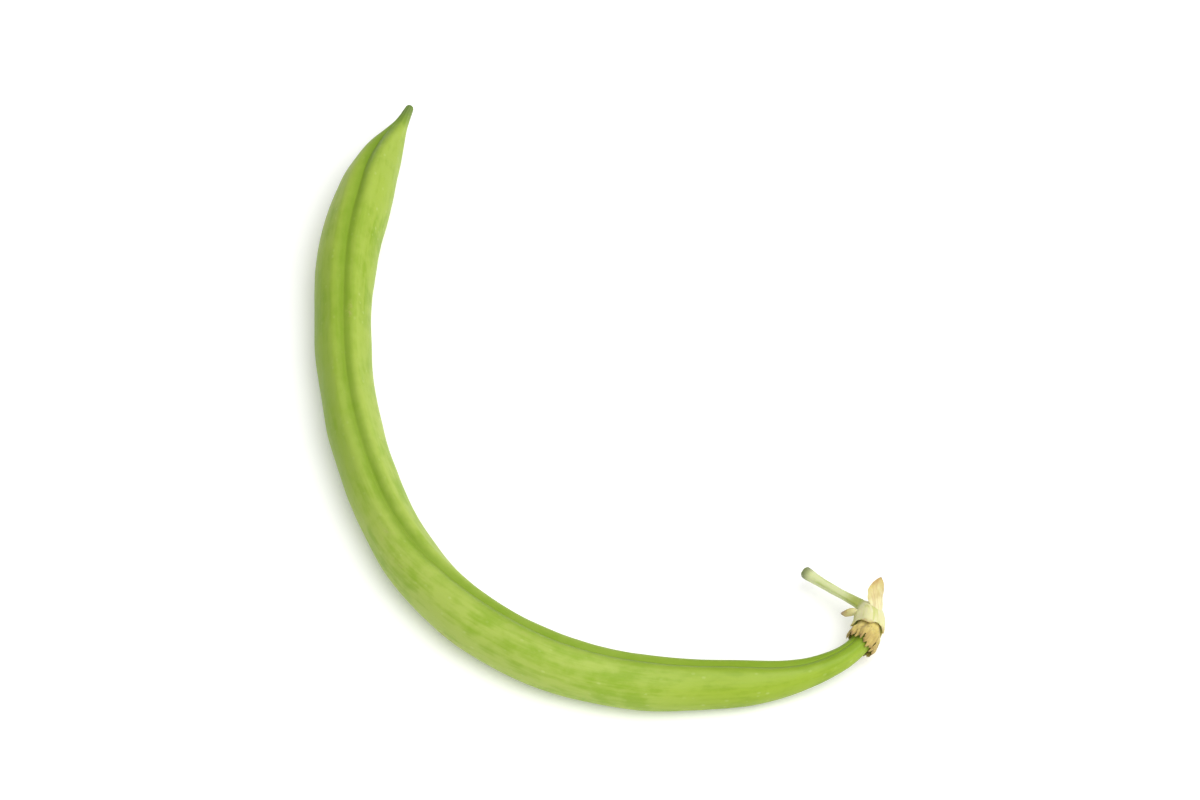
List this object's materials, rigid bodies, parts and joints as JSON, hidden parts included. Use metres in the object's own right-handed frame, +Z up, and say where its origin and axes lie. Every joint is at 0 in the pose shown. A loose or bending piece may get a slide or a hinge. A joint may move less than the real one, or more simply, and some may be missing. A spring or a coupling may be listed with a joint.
{
  "type": "green bean",
  "caption": "Fresh green bean pod, long, round and hooked, with a pointed beak, calyx, withered petals and a broken stalk.",
  "frame": {"origin": "centre of the bean's bounding box at the height of the surface it lies on", "axes": "+Z up from the surface, +Y along the longer arm of the hook towards the beak, +X towards the stalk end"},
  "size_m": [0.0688, 0.0936, 0.0075],
  "materials": {
    "fresh_pod": "satin, with a very fine velvety nap",
    "calyx": "matte, pale yellow-green",
    "withered_petals": "dry, crumpled and brown",
    "scale_leaf": "matte, drying to brown at the tip",
    "stalk": "matte, finely ridged"
  },
  "bodies": {
    "root": {"pod": "fresh_pod", "calyx": "calyx", "withered_petals": "withered_petals", "scale_leaf_long": "scale_leaf", "scale_leaf_short": "scale_leaf", "stalk": "stalk"}
  },
  "joints": []
}
